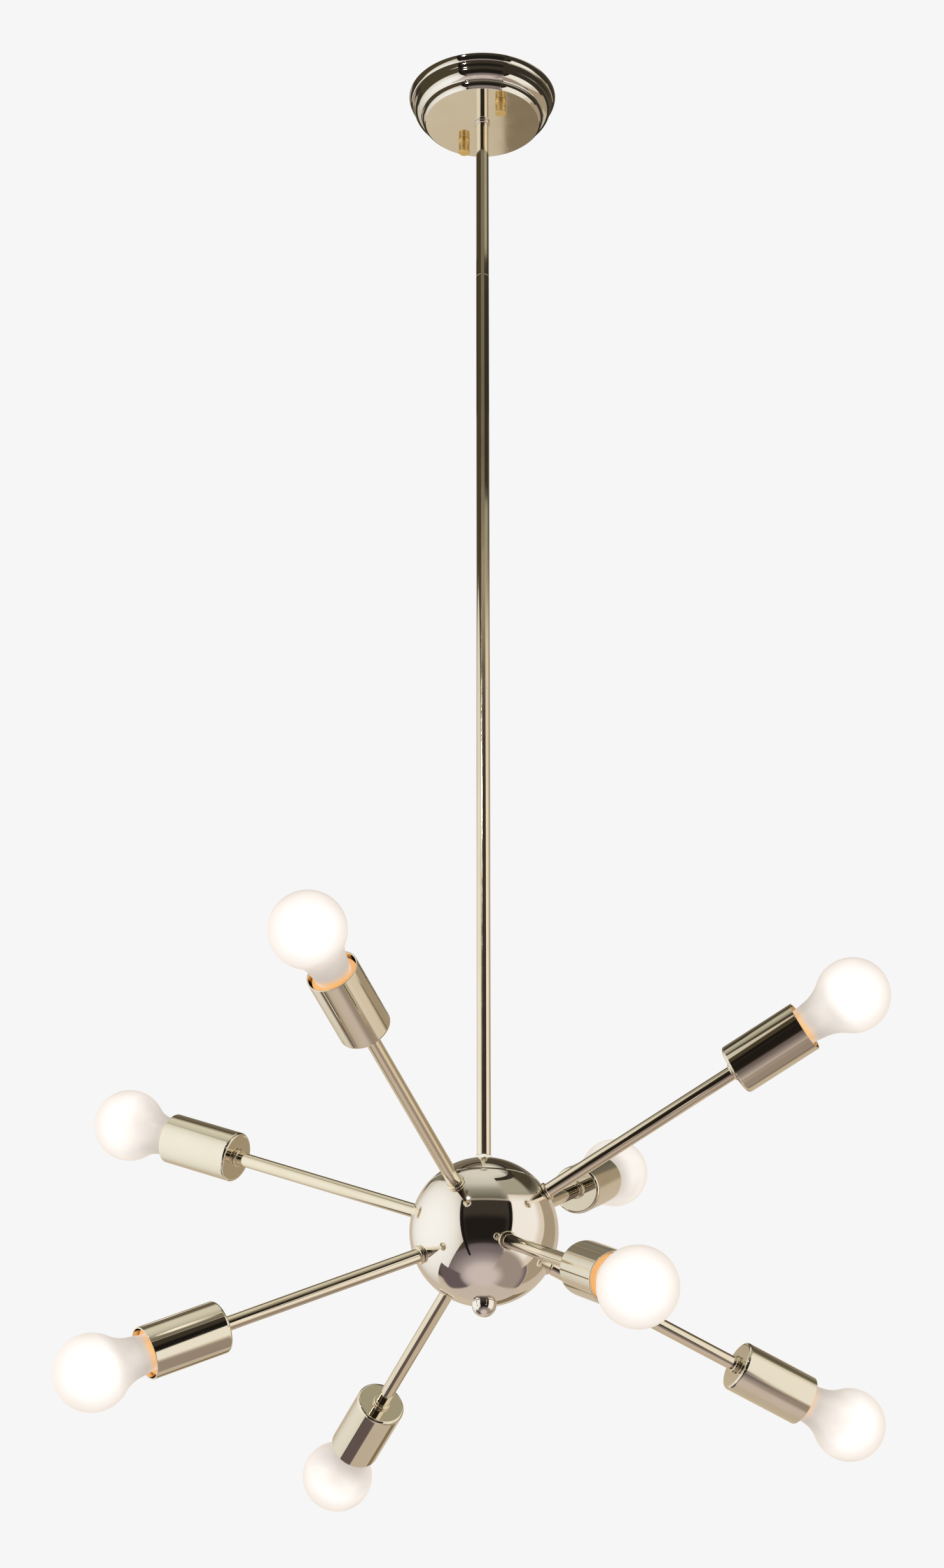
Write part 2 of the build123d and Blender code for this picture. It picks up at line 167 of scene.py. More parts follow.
def place(name, mesh, finish, body=mainBody, at=None, replaced=()):
    # links a finished mesh as a piece, its place inside its mesh
    if at is not None:
        mesh.transform(at)
    mesh.materials.clear()
    mesh.materials.append(finish)
    piece = bpy.data.objects.new(name, mesh)
    bpy.context.scene.collection.objects.link(piece)
    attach(piece, body)
    if replaced:
        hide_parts(*replaced)


def turnedPiece(name, outline, steps, finish, replaced, at=None):
    place(name, turnedMesh(name, [outline], steps), finish, at=at, replaced=[replaced])


def startTree(name, inputs):
    tree = bpy.data.node_groups.new(name, "GeometryNodeTree")
    tree.interface.new_socket(name="Geometry", in_out="OUTPUT", socket_type="NodeSocketGeometry")
    for label, kind in inputs:
        tree.interface.new_socket(name=label, in_out="INPUT", socket_type=kind)
    tree.nodes.new("NodeGroupInput")
    return tree


def addNode(tree, kind, links=(), **settings):
    node = tree.nodes.new(kind)
    for key, value in settings.items():
        setattr(node, key, value)
    for socket, source in links:
        target = node.inputs[socket]
        if isinstance(source, bpy.types.NodeSocket):
            tree.links.new(source, target)
        else:
            target.default_value = source
    return node


def reckon(tree, operation, *values):
    # one Math node on sockets or plain numbers
    return addNode(tree, "ShaderNodeMath", enumerate(values), operation=operation).outputs[0]


def endTree(tree, geometry, finish):
    realized = addNode(tree, "GeometryNodeRealizeInstances", [("Geometry", geometry)])
    coated = addNode(tree, "GeometryNodeSetMaterial",
                     [("Geometry", realized.outputs[0]), ("Material", finish)])
    addNode(tree, "NodeGroupOutput", [("Geometry", coated.outputs[0])])
    return tree


def makeArmSpread():
    tree = startTree("armSpread", [("Arms", "NodeSocketGeometry"), ("Piece", "NodeSocketObject"),
                                   ("Only Arm", "NodeSocketInt"), ("Finish", "NodeSocketMaterial")])
    given = tree.nodes["Group Input"].outputs
    shape = addNode(tree, "GeometryNodeObjectInfo", [("Object", given["Piece"])])
    axis, across = [addNode(tree, "GeometryNodeInputNamedAttribute", [("Name", label)],
                            data_type="FLOAT_VECTOR").outputs[0] for label in ("armAxis", "armAcross")]
    turn = addNode(tree, "FunctionNodeAxesToRotation", [(0, axis), (1, across)],
                   primary_axis="Z", secondary_axis="X")
    index = addNode(tree, "GeometryNodeInputIndex")
    same = addNode(tree, "FunctionNodeCompare", [(2, index.outputs[0]), (3, given["Only Arm"])],
                   data_type="INT", operation="EQUAL")
    every = addNode(tree, "FunctionNodeCompare", [(2, given["Only Arm"]), (3, 0)],
                    data_type="INT", operation="LESS_THAN")
    chosen = addNode(tree, "FunctionNodeBooleanMath",
                     enumerate((same.outputs[0], every.outputs[0])), operation="OR")
    spread = addNode(tree, "GeometryNodeInstanceOnPoints",
                     [("Points", given["Arms"]), ("Selection", chosen.outputs[0]),
                      ("Instance", shape.outputs["Geometry"]), ("Rotation", turn.outputs[0])])
    return endTree(tree, spread.outputs[0], given["Finish"])


def joinedTree(tree, given, addition):
    # the core joined with what grew on it
    joined = addNode(tree, "GeometryNodeJoinGeometry")
    tree.links.new(given["Core"], joined.inputs[0])
    tree.links.new(addition.outputs[0], joined.inputs[0])
    return endTree(tree, joined.outputs[0], given["Finish"])


def makeKnurl():
    tree = startTree("knurl", [("Core", "NodeSocketGeometry"), ("Ridge", "NodeSocketObject"),
                               ("Count", "NodeSocketInt"), ("Finish", "NodeSocketMaterial")])
    given = tree.nodes["Group Input"].outputs
    shape = addNode(tree, "GeometryNodeObjectInfo", [("Object", given["Ridge"])])
    index = addNode(tree, "GeometryNodeInputIndex")
    share = reckon(tree, "DIVIDE", index.outputs[0], given["Count"])
    turn = addNode(tree, "ShaderNodeCombineXYZ", [("Z", reckon(tree, "MULTIPLY", share, 2 * math.pi))])
    spots = addNode(tree, "GeometryNodePoints", [("Count", given["Count"])])
    ring = addNode(tree, "GeometryNodeInstanceOnPoints",
                   [("Points", spots.outputs[0]), ("Instance", shape.outputs["Geometry"]),
                    ("Rotation", turn.outputs[0])])
    return joinedTree(tree, given, ring)


threadCut = {"depthShare": 0.42, "turnSteps": 20, "crestSides": 5}


def makeScrewThread():
    tree = startTree("screwThread", [("Core", "NodeSocketGeometry"), ("Length", "NodeSocketFloat"),
                                     ("Radius", "NodeSocketFloat"), ("Pitch", "NodeSocketFloat"),
                                     ("Finish", "NodeSocketMaterial")])
    given = tree.nodes["Group Input"].outputs
    turns = reckon(tree, "DIVIDE", given["Length"], given["Pitch"])
    depth = reckon(tree, "MULTIPLY", given["Pitch"], threadCut["depthShare"])
    middle = reckon(tree, "SUBTRACT", given["Radius"], depth)
    spiral = addNode(tree, "GeometryNodeCurveSpiral",
                     [("Resolution", threadCut["turnSteps"]), ("Rotations", turns),
                      ("Start Radius", middle), ("End Radius", middle), ("Height", given["Length"])])
    crest = addNode(tree, "GeometryNodeCurvePrimitiveCircle",
                    [("Resolution", threadCut["crestSides"]), ("Radius", depth)])
    swept = addNode(tree, "GeometryNodeCurveToMesh",
                    [("Curve", spiral.outputs[0]), ("Profile Curve", crest.outputs[0]),
                     ("Fill Caps", True)])
    return joinedTree(tree, given, swept)


def grown(tree, startMesh, values):
    # runs a tree on a mesh and gives back the result as a plain mesh
    host = bpy.data.objects.new("host", startMesh)
    bpy.context.scene.collection.objects.link(host)
    modifier = host.modifiers.new("grow", "NODES")
    modifier.node_group = tree
    named = [item for item in tree.interface.items_tree if item.in_out == "INPUT"]
    sockets = {item.name: item.identifier for item in named}
    for label, value in values.items():
        modifier[sockets[label]] = value
    bpy.context.view_layer.update()
    evaluated = host.evaluated_get(bpy.context.evaluated_depsgraph_get())
    mesh = bpy.data.meshes.new_from_object(evaluated)
    host.modifiers.remove(modifier)
    bpy.data.objects.remove(host)
    return mesh


def stencil(mesh):
    # the object that a tree takes its piece from, removed after use
    source = bpy.data.objects.new("stencil", mesh)
    bpy.context.scene.collection.objects.link(source)
    return source


armSpread, knurl, screwThread = makeArmSpread(), makeKnurl(), makeScrewThread()

armStart = bpy.data.meshes.new("armStart")
armStart.from_pydata([ballCentre] * len(armAxes), [], [])
armAcross = [Vector((-a.y, a.x, 0)).normalized() for a in armAxes]
for label, vectors in (("armAxis", armAxes), ("armAcross", armAcross)):
    layer = armStart.attributes.new(label, "FLOAT_VECTOR", "POINT")
    layer.data.foreach_set("vector", [c for vector in vectors for c in vector])


def onArms(name, mesh, finish, replaced=(), arm=None):
    # one piece on every arm, or on one arm's lamp
    source = stencil(mesh)
    only = -1 if arm is None else arm - 1
    result = grown(armSpread, armStart, {"Piece": source, "Only Arm": only, "Finish": finish})
    bpy.data.objects.remove(source)
    body = mainBody if arm is None else f"bulb_{arm}"
    place(name, result, finish, body, replaced=replaced)


def newFinish(name):
    finish = bpy.data.materials.new(name)
    finish.use_nodes = True
    tree = finish.node_tree
    return finish, tree, tree.nodes["Principled BSDF"]


def spotSource(tree, onPiece):
    # a piece's own coordinates before it was placed, or plain object coordinates
    if onPiece:
        return addNode(tree, "ShaderNodeAttribute", attribute_name="localSpot").outputs["Vector"]
    return addNode(tree, "ShaderNodeTexCoord").outputs["Object"]


def noiseOf(tree, spot, scale, detail, stretch=(1, 1, 1)):
    mapped = addNode(tree, "ShaderNodeMapping", [("Vector", spot), ("Scale", stretch)])
    return addNode(tree, "ShaderNodeTexNoise",
                   [("Vector", mapped.outputs[0]), ("Scale", scale), ("Detail", detail)]).outputs["Fac"]


def ranged(tree, value, low, high, fromLow=0.3, fromHigh=0.7):
    # most of a noise lies between 0.3 and 0.7
    return addNode(tree, "ShaderNodeMapRange",
                   [("Value", value), ("From Min", fromLow), ("From Max", fromHigh),
                    ("To Min", low), ("To Max", high)]).outputs[0]


def blended(tree, share, first, second):
    return addNode(tree, "ShaderNodeMix", [("Factor", share), (6, first), (7, second)],
                   data_type="RGBA").outputs[2]


def texture(tree, surface, height, strength, distance):
    bump = addNode(tree, "ShaderNodeBump",
                   [("Height", height), ("Strength", strength), ("Distance", distance)])
    tree.links.new(bump.outputs[0], surface.inputs["Normal"])


# noise scales and the lines' stretch along the axis
polish = {"drift": 18, "haze": 60, "lines": 40, "stretch": 90, "depth": 0.0002}
mouldDepth = 0.0001


def polishedPlating(name, tint, deepTint, roughLow, roughHigh, lines, metal=1.0):
    # spun metal, plated and polished: faint turning lines, uneven gloss and a slow drift of tint
    finish, tree, surface = newFinish(name)
    spot = spotSource(tree, True)
    drift = noiseOf(tree, spot, polish["drift"], 2)
    tree.links.new(blended(tree, ranged(tree, drift, 0, 1), shade(*tint), shade(*deepTint)),
                   surface.inputs["Base Color"])
    haze = noiseOf(tree, spot, polish["haze"], 5)
    tree.links.new(ranged(tree, haze, roughLow, roughHigh), surface.inputs["Roughness"])
    surface.inputs["Metallic"].default_value = metal
    turning = noiseOf(tree, spot, polish["lines"], 4, (1, 1, polish["stretch"]))
    texture(tree, surface, turning, lines, polish["depth"])
    return finish


def plainPart(name, colour, deepColour, roughLow, roughHigh, metallic=0.0, grain=200, relief=0.05,
              onPiece=False):
    # moulded plastic, zinc-plated steel or insulation, by its numbers
    finish, tree, surface = newFinish(name)
    spot = spotSource(tree, onPiece)
    fine = noiseOf(tree, spot, grain, 4)
    tree.links.new(blended(tree, ranged(tree, fine, 0, 1), shade(*colour), shade(*deepColour)),
                   surface.inputs["Base Color"])
    tree.links.new(ranged(tree, noiseOf(tree, spot, grain / 3, 3), roughLow, roughHigh),
                   surface.inputs["Roughness"])
    surface.inputs["Metallic"].default_value = metallic
    texture(tree, surface, fine, relief, mouldDepth)
    return finish


def frostedLamp(name, look):
    # frosted glass, lit from inside: orange at the socket, grey along the neck, white on the crown
    finish, tree, surface = newFinish(name)
    spot = spotSource(tree, True)
    height = addNode(tree, "ShaderNodeSeparateXYZ", [("Vector", spot)]).outputs["Z"]
    cloud = noiseOf(tree, spot, look["cloudScale"], 2)
    wobble = reckon(tree, "MULTIPLY_ADD", cloud, look["cloud"] * mm, height)
    pastSocket, pastNeck = [ranged(tree, wobble, 0, 1, low * mm, high * mm)
                            for low, high in (look["socketSpan"], look["neckSpan"])]
    lowGlow = blended(tree, pastSocket, shade(*look["socketGlow"]), shade(*look["neckGlow"]))
    glow = blended(tree, pastNeck, lowGlow, shade(*look["crownGlow"]))
    level = look["socketLevel"]
    for share, after in ((pastSocket, look["neckLevel"]), (pastNeck, look["crownLevel"])):
        level = addNode(tree, "ShaderNodeMix", [("Factor", share), (2, level), (3, after)]).outputs[0]
    edge = addNode(tree, "ShaderNodeLayerWeight", [("Blend", 0.5)]).outputs["Facing"]
    for start, end, share in look["fallOff"]:
        level = reckon(tree, "MULTIPLY", level, ranged(tree, edge, 1.0, share, start, end))
    tree.links.new(blended(tree, ranged(tree, edge, 0, 1, *look["rimSpan"]), glow, shade(*look["rimGlow"])),
                   surface.inputs["Emission Color"])
    tree.links.new(level, surface.inputs["Emission Strength"])
    surface.inputs["Base Color"].default_value = shade(*look["glass"])
    frost = noiseOf(tree, spot, look["frostScale"], 2)
    tree.links.new(ranged(tree, frost, *look["gloss"]), surface.inputs["Roughness"])
    texture(tree, surface, frost, look["relief"], mouldDepth)
    return finish


wireLook = {"parting": -0.29, "line": (24, 24, 26), "neutral": (226, 224, 216), "earth": (40, 120, 52),
            "grain": 160, "gloss": (0.3, 0.42)}


def wireColours(name, look):
    # three insulated wires, told apart by where they lie round the stem's axis
    finish, tree, surface = newFinish(name)
    spot = spotSource(tree, False)
    split = addNode(tree, "ShaderNodeSeparateXYZ", [("Vector", spot)]).outputs
    onLeft = reckon(tree, "LESS_THAN", split["X"], look["parting"] * mm)
    onFront = reckon(tree, "LESS_THAN", split["Y"], 0)
    lineOrEarth = blended(tree, onFront, shade(*look["earth"]), shade(*look["line"]))
    tree.links.new(blended(tree, onLeft, lineOrEarth, shade(*look["neutral"])),
                   surface.inputs["Base Color"])
    tree.links.new(ranged(tree, noiseOf(tree, spot, look["grain"], 3), *look["gloss"]),
                   surface.inputs["Roughness"])
    return finish


bulbLook = {"crownGlow": (255, 249, 243), "neckGlow": (232, 222, 212), "socketGlow": (255, 186, 96),
            "rimGlow": (251, 239, 229), "crownLevel": 1.08, "neckLevel": 0.72, "socketLevel": 1.0,
            "fallOff": ((0.1, 0.36, 0.82), (0.36, 0.9, 0.76)), "socketSpan": (311, 319),
            "neckSpan": (321, 350), "cloud": 9.0, "cloudScale": 55, "rimSpan": (0.3, 0.9),
            "glass": (112, 109, 106), "frostScale": 900, "gloss": (0.32, 0.42), "relief": 0.08}

ballPlating = polishedPlating("ballPlating", (247, 242, 235), (245, 239, 230), 0.03, 0.06, 0.002)
canopyPlating = polishedPlating("canopyPlating", (243, 240, 232), (239, 234, 222), 0.03, 0.06, 0.003)
tubePlating = polishedPlating("tubePlating", (242, 233, 213), (237, 226, 203), 0.07, 0.11, 0.001)
cupPlating = polishedPlating("cupPlating", (241, 234, 216), (236, 228, 208), 0.04, 0.08, 0.003)
trimBrass = polishedPlating("trimBrass", (255, 226, 160), (254, 216, 142), 0.26, 0.38, 0.05, 0.72)
collarPlating = polishedPlating("collarPlating", (244, 240, 238), (236, 226, 208), 0.05, 0.09, 0.004)
linerBrass = polishedPlating("linerBrass", (226, 200, 150), (206, 172, 116), 0.2, 0.34, 0.04)
zincSteel = plainPart("zincSteel", (196, 194, 188), (170, 168, 160), 0.24, 0.42, 1.0, 320, 0.12)
shellNickel = plainPart("shellNickel", (214, 212, 206), (196, 192, 184), 0.16, 0.3, 1.0, 260, 0.06, True)
creamHolder = plainPart("creamHolder", (246, 216, 168), (238, 204, 152), 0.38, 0.55, 0.0, 260, 0.1, True)
# painted glow on the holder's lip: the heights it rises between, its strength and its orange colour
paintedLipGlow = {"low": 297, "high": 303.4, "level": 0.3, "colour": (255, 176, 92)}
tree = creamHolder.node_tree
up = addNode(tree, "ShaderNodeSeparateXYZ", [("Vector", spotSource(tree, True))]).outputs["Z"]
# painted glow: the lamp's warm light on the moulded lip is painted in as orange emission, stronger towards the
# mouth
tree.links.new(ranged(tree, up, 0, paintedLipGlow["level"], paintedLipGlow["low"] * mm, paintedLipGlow["high"] * mm),
               tree.nodes["Principled BSDF"].inputs["Emission Strength"])
tree.nodes["Principled BSDF"].inputs["Emission Color"].default_value = shade(*paintedLipGlow["colour"])
blackInsulator = plainPart("blackInsulator", (30, 28, 30), (18, 18, 20), 0.12, 0.24, 0.0, 300, 0.05, True)
solderTip = plainPart("solderTip", (176, 176, 172), (150, 150, 146), 0.3, 0.5, 1.0, 500, 0.2, True)
lampGlass = frostedLamp("lampGlass", bulbLook)

slotFinishes = {
    "steel": zincSteel,
    "ground": plainPart("groundGreen", (44, 128, 58), (36, 106, 48), 0.3, 0.45, 0.3),
    "lead": plainPart("leadWhite", (226, 222, 212), (214, 208, 196), 0.3, 0.45),
    "block": plainPart("blockIvory", (222, 216, 200), (208, 200, 182), 0.42, 0.58),
    "connector": plainPart("connectorOrange", (214, 122, 44), (196, 104, 34), 0.35, 0.5),
    "holder": creamHolder, "plating": tubePlating, "gold_trim": trimBrass,
    "bulb_glass": lampGlass, "bulb_base": shellNickel,
}
for part in frame["record"]["subparts"]:
    node = frame["nodes"][part["node"]]
    node.data.materials.clear()
    node.data.materials.append(slotFinishes[part["material_slot"]])
frame["nodes"]["supply_leads"].data.materials[0] = wireColours("wireColours", wireLook)
print("finishes made")


# corners are (radius, height, rounding)
# each sweep is the corner where it starts, the one where it ends, its rise and its steps
canopyShape = {"rim": (68.6, 0.0, 0.25), "bandEnd": (66.4, -5.5, 0.2), "groove": (65.6, -6.2, 0.15),
               "shoulder": (63.9, -11.6), "crease": (57.3, -20.9, 0.1), "cove": (56.6, -21.6, 0.15),
               "lip": (53.9, -28.0, 0.4), "face": 52.9, "faceRound": 0.5, "wall": 1.2,
               "sweeps": (("rim", "bandEnd", 0.45, 6), ("groove", "shoulder", 0.3, 6),
                          ("shoulder", "crease", 1.7, 12), ("cove", "lip", 0.95, 8)),
               "inside": ((51.7, -27.8, 0.6), (55.0, -24.2), (56.1, -20.4), (60.0, -17.6), (62.2, -14.2),
                          (64.1, -8.3), (65.2, -5.3), (67.3, 0.0, 0.2))}


def canopyOutline():
    c, face, hole = canopyShape, places["canopyFace"], places["threadRadius"]
    outer = []
    for first, last, rise, count in c["sweeps"]:
        ends = [c[first]] if c[first] not in outer else []
        outer += ends + bowed(c[first][:2], c[last][:2], rise, count) + [c[last]]
    outer.append((c["face"], face, c["faceRound"]))
    return softened([*outer, (hole, face), (hole, face + c["wall"]), *c["inside"]])


turnedPiece("canopyShell", canopyOutline(), 160, canopyPlating, "canopy")

collarShape = {"radius": 7.1, "top": -29.0, "thickness": 3.0, "bead": 1.1}


def beadOutline(radius, low, thickness, bead):
    bore = places["threadRadius"]
    high = low + thickness
    return softened([(bore, low), (radius, low, bead), (radius, high, bead), (bore, high)])


collarLow = collarShape["top"] - collarShape["thickness"]
collarLine = beadOutline(collarShape["radius"], collarLow, collarShape["thickness"], collarShape["bead"])
turnedPiece("canopyCollar", collarLine, 96, collarPlating, "canopy_collar")

capNutShape = {"radius": 5.2, "core": 5.02, "length": 12.0, "bore": 2.1, "boreDepth": 10.0,
               "grooveTop": 1.9, "grooveWidth": 1.3, "grooveDepth": 0.95, "grooveRound": 0.15,
               "land": 0.4, "landFoot": 0.5, "landRound": 0.12, "flankRound": 0.1, "endRound": 0.7,
               "topRound": 0.2, "spacing": 69.85, "support": 0.05, "steps": 92}
knurlShape = {"ridges": 64, "fullness": 0.92, "root": 0.12, "top": 0.45, "foot": 0.55, "topSlope": 0.2,
              "footSlope": 0.3, "topLift": 0.6, "sharp": 20}


def makeCapNut():
    c, k = capNutShape, knurlShape
    core, radius, bore, edge = c["core"], c["radius"], c["bore"], c["landRound"]
    top, low = places["canopyFace"], places["canopyFace"] - c["length"]
    grooveTop = top - c["grooveTop"]
    grooveLow = grooveTop - c["grooveWidth"]
    neck = radius - c["grooveDepth"]
    outline = softened([
        (0, low), (core, low, c["endRound"]), (core, grooveLow - c["landFoot"]),
        (radius, grooveLow - c["land"], c["flankRound"]), (radius, grooveLow, edge),
        (neck, grooveLow, c["grooveRound"]), (neck, grooveTop, c["grooveRound"]), (radius, grooveTop, edge),
        (radius, top, c["topRound"]), (bore, top), (bore, top - c["boreDepth"]),
        (0, top - c["boreDepth"])], support=c["support"])
    bm = bmesh.new()
    half = math.pi * core / k["ridges"] * k["fullness"]
    ridgeTop, ridgeLow = grooveLow - k["top"], low + k["foot"]
    rows = []
    for height, lift in ((ridgeLow, 0.0), (ridgeLow + k["footSlope"], 1.0),
                         (ridgeTop - k["topSlope"], 1.0), (ridgeTop, k["topLift"])):
        crest, root = core + (radius - core) * lift, core - k["root"]
        rows.append([bm.verts.new((r * mm, side * mm, height * mm))
                     for r, side in ((root, -half), (crest, 0.0), (root, half))])
    for low, high in zip(rows, rows[1:]):
        for side in range(3):
            bm.faces.new((low[side], low[(side + 1) % 3], high[(side + 1) % 3], high[side]))
    bm.faces.new(rows[0])
    bm.faces.new(rows[-1])
    bmesh.ops.recalc_face_normals(bm, faces=bm.faces)
    ridge = stencil(finishedMesh("ridge", bm, k["sharp"]))
    mesh = grown(knurl, turnedMesh("capNut", [outline], c["steps"]),
                 {"Ridge": ridge, "Count": k["ridges"], "Finish": trimBrass})
    bpy.data.objects.remove(ridge)
    return mesh


studSide = capNutShape["spacing"] / 2 * mm
capNutMesh = makeCapNut()
for number, side in ((1, -studSide), (2, studSide)):
    place(f"capNut{number}", capNutMesh.copy(), trimBrass, f"cap_nut_{number}",
          Matrix.Translation((side, 0, 0)), [f"cap_nut_{number}"])

studShape = {"radius": 2.05, "core": 1.75, "endRound": 0.3, "pitch": 0.8, "low": -38.0, "high": -0.05,
             "bareEnd": 0.9}
studLength = studShape["high"] - studShape["low"]
studLine = softened([(0, 0), (studShape["core"], 0, studShape["endRound"]), (studShape["core"], studLength),
                     (0, studLength)])
studThread = grown(screwThread, turnedMesh("stud", [studLine], 24),
                   {"Length": (studLength - studShape["bareEnd"]) * mm, "Radius": studShape["radius"] * mm,
                    "Pitch": studShape["pitch"] * mm, "Finish": zincSteel})
studs = bmesh.new()
for side in (-studSide, studSide):
    copy = studThread.copy()
    copy.transform(Matrix.Translation((side, 0, studShape["low"] * mm)))
    studs.from_mesh(copy)
place("threadedStuds", meshOf("studs", studs), zincSteel, replaced=["crossbar_studs"])
print("canopy, nuts and studs made")


def tubeOutline(bore, radius, low, high, endRound):
    return softened([(bore, low), (radius, low, endRound), (radius, high, endRound), (bore, high)])


stemShape = {"radius": 5.75, "endRound": 0.3}
rods = {"stem_upper": ("upperSeam", "stemTop"), "stem_middle": ("lowerSeam", "upperSeam"),
        "stem_lower": ("stemBottom", "lowerSeam")}
for node, (lowName, highName) in rods.items():
    line = tubeOutline(places["threadRadius"], stemShape["radius"], places[lowName], places[highName],
                       stemShape["endRound"])
    turnedPiece(node.replace("_", "") + "Rod", line, 96, tubePlating, node)


ballShape = {"radius": 60.0, "wall": 2.5, "seamRound": 0.5, "roundStart": 0.6, "roundMiddle": (0.35, 0.12),
             "outerSteps": 60, "innerSteps": 24, "steps": 192}


def heightDegrees(height, size):
    return math.degrees(math.asin(height / size))


def hubHeight(radius):
    # where a shell of this radius meets the rod's bore
    return math.sqrt(radius ** 2 - places["threadRadius"] ** 2)


def ballOutline(low, high, roundLow, roundHigh):
    # a zone of the hollow ball between two heights, its edge turned in at the seam
    b = ballShape
    radius, inner, soft = b["radius"], b["radius"] - b["wall"], b["seamRound"]
    turn, (middleOut, middleUp) = soft * b["roundStart"], b["roundMiddle"]
    outer = arcSpots(0, 0, radius, heightDegrees(low + (turn if roundLow else 0), radius),
                     heightDegrees(high - (turn if roundHigh else 0), radius), b["outerSteps"])
    hub = hubHeight(inner)
    back = arcSpots(0, 0, inner, heightDegrees(high if high < inner else hub, inner),
                    heightDegrees(low if low > -inner else -hub, inner), b["innerSteps"])
    if roundHigh:
        edge = math.sqrt(radius ** 2 - high ** 2) - soft
        outer += [(edge + soft * middleOut, high - soft * middleUp), (edge, high)]
    if roundLow:
        edge = math.sqrt(radius ** 2 - low ** 2) - soft
        outer = [(edge, low), (edge + soft * middleOut, low + soft * middleUp)] + outer
    return outer + back


poleHeight = hubHeight(ballShape["radius"])
seam = places["seamHeight"]
bodyLine, lidLine = ballOutline(-poleHeight, seam, False, True), ballOutline(seam, poleHeight, True, False)
turnedPiece("ballBody", bodyLine, ballShape["steps"], ballPlating, "ball_body", at=ballPlace)
turnedPiece("ballLid", lidLine, ballShape["steps"], ballPlating, "ball_lid", at=ballPlace)

hexShape = {"across": 13.8, "low": 59.913, "high": 64.113, "chamfer": 0.5, "faceShare": 0.3, "steps": 48,
            "sharp": 12}


def hexNutMesh():
    # six flats, their corners turned off to a cone at both faces
    h, bore, sixth = hexShape, places["threadRadius"], math.pi / 3
    half, low, high, steps = h["across"] / 2, h["low"], h["high"], h["steps"]
    corner, face = half / math.cos(sixth / 2), half - h["chamfer"] * h["faceShare"]
    bm = bmesh.new()
    rings = []
    for height, limit in ((low, face), (low + h["chamfer"], corner), (high - h["chamfer"], corner),
                          (high, face), (high, bore), (low, bore)):
        ring = []
        for step in range(steps):
            angle = 2 * math.pi * step / steps
            r = min(half / math.cos((angle + sixth / 2) % sixth - sixth / 2), limit)
            ring.append(bm.verts.new((r * math.cos(angle) * mm, r * math.sin(angle) * mm, height * mm)))
        rings.append(ring)
    for here, after in zip(rings, rings[1:] + rings[:1]):
        for step in range(steps):
            n = (step + 1) % steps
            bm.faces.new((here[step], here[n], after[n], after[step]))
    bmesh.ops.recalc_face_normals(bm, faces=bm.faces)
    return finishedMesh("hexNut", bm, h["sharp"])


place("ballHexNut", hexNutMesh(), canopyPlating, at=ballPlace, replaced=["ball_nut"])

finialShape = {"radius": 10.0, "rimHeight": -61.0, "boreEnd": -67.5, "edgeRound": 0.5, "gap": 0.05,
               "domeSteps": 24, "steps": 96}


def finialOutline():
    f, ballRadius, bore = finialShape, ballShape["radius"], places["threadRadius"]
    # the seat is a straight cone that clears the round ball by the gap at its middle
    clear = f["gap"] + (f["radius"] - bore) ** 2 / 8 / ballRadius
    top = -math.sqrt(ballRadius ** 2 - f["radius"] ** 2) - clear
    dome = arcSpots(0, f["rimHeight"], f["radius"], -90, 0, f["domeSteps"])
    return softened([*dome, (f["radius"], top, f["edgeRound"]), (bore, -poleHeight - clear),
                     (bore, f["boreEnd"]), (0, f["boreEnd"])])


turnedPiece("finialDome", finialOutline(), finialShape["steps"], ballPlating, "finial", at=ballPlace)
print("stem and ball made")


armShape = {"tubeRadius": 5.75, "tubeBore": 4.75, "tubeStart": 62.913, "tubeEnd": 239.0, "endRound": 0.25,
            "ringRadius": 7.65, "ringThickness": 3.0, "ringBead": 1.3}

tubeLine = tubeOutline(*[armShape[key] for key in ("tubeBore", "tubeRadius", "tubeStart", "tubeEnd",
                                                   "endRound")])
onArms("armTubes", turnedMesh("armTube", [tubeLine], 64), tubePlating,
       [f"arm_tube_{k}" for k in armNumbers])

ringLines = [beadOutline(armShape["ringRadius"], low, armShape["ringThickness"], armShape["ringBead"])
             for low in (places["ringSeat"], armShape["tubeEnd"])]
onArms("armCheckRings", turnedMesh("checkRing", ringLines, 64), tubePlating, ["arm_check_rings"])

cupShape = {"radius": 20.9, "wall": 1.2, "back": 242.0, "plate": 1.5, "mouth": 308.0, "backRound": 2.5,
            "mouthRound": 0.45, "insideRound": 1.2}


def cupOutline():
    c = cupShape
    hole, inside = places["threadRadius"], c["radius"] - c["wall"]
    return softened([(hole, c["back"]), (c["radius"], c["back"], c["backRound"]),
                     (c["radius"], c["mouth"], c["mouthRound"]), (inside, c["mouth"], c["mouthRound"]),
                     (inside, c["back"] + c["plate"], c["insideRound"]), (hole, c["back"] + c["plate"])])


onArms("socketCups", turnedMesh("socketCup", [cupOutline()], 96), cupPlating,
       [f"socket_cup_{k}" for k in armNumbers])

holderShape = {"radius": 18.0, "lip": 18.4, "start": 246.6, "mouth": 303.5, "lipDepth": 2.4,
               "lipSlope": 0.3, "bore": 13.4, "boreFloor": 276.1, "flare": 0.3, "flareDepth": 1.2,
               "rodEnd": 252.65, "endRound": 0.8, "mouthRound": 0.5, "stepRound": 0.2}


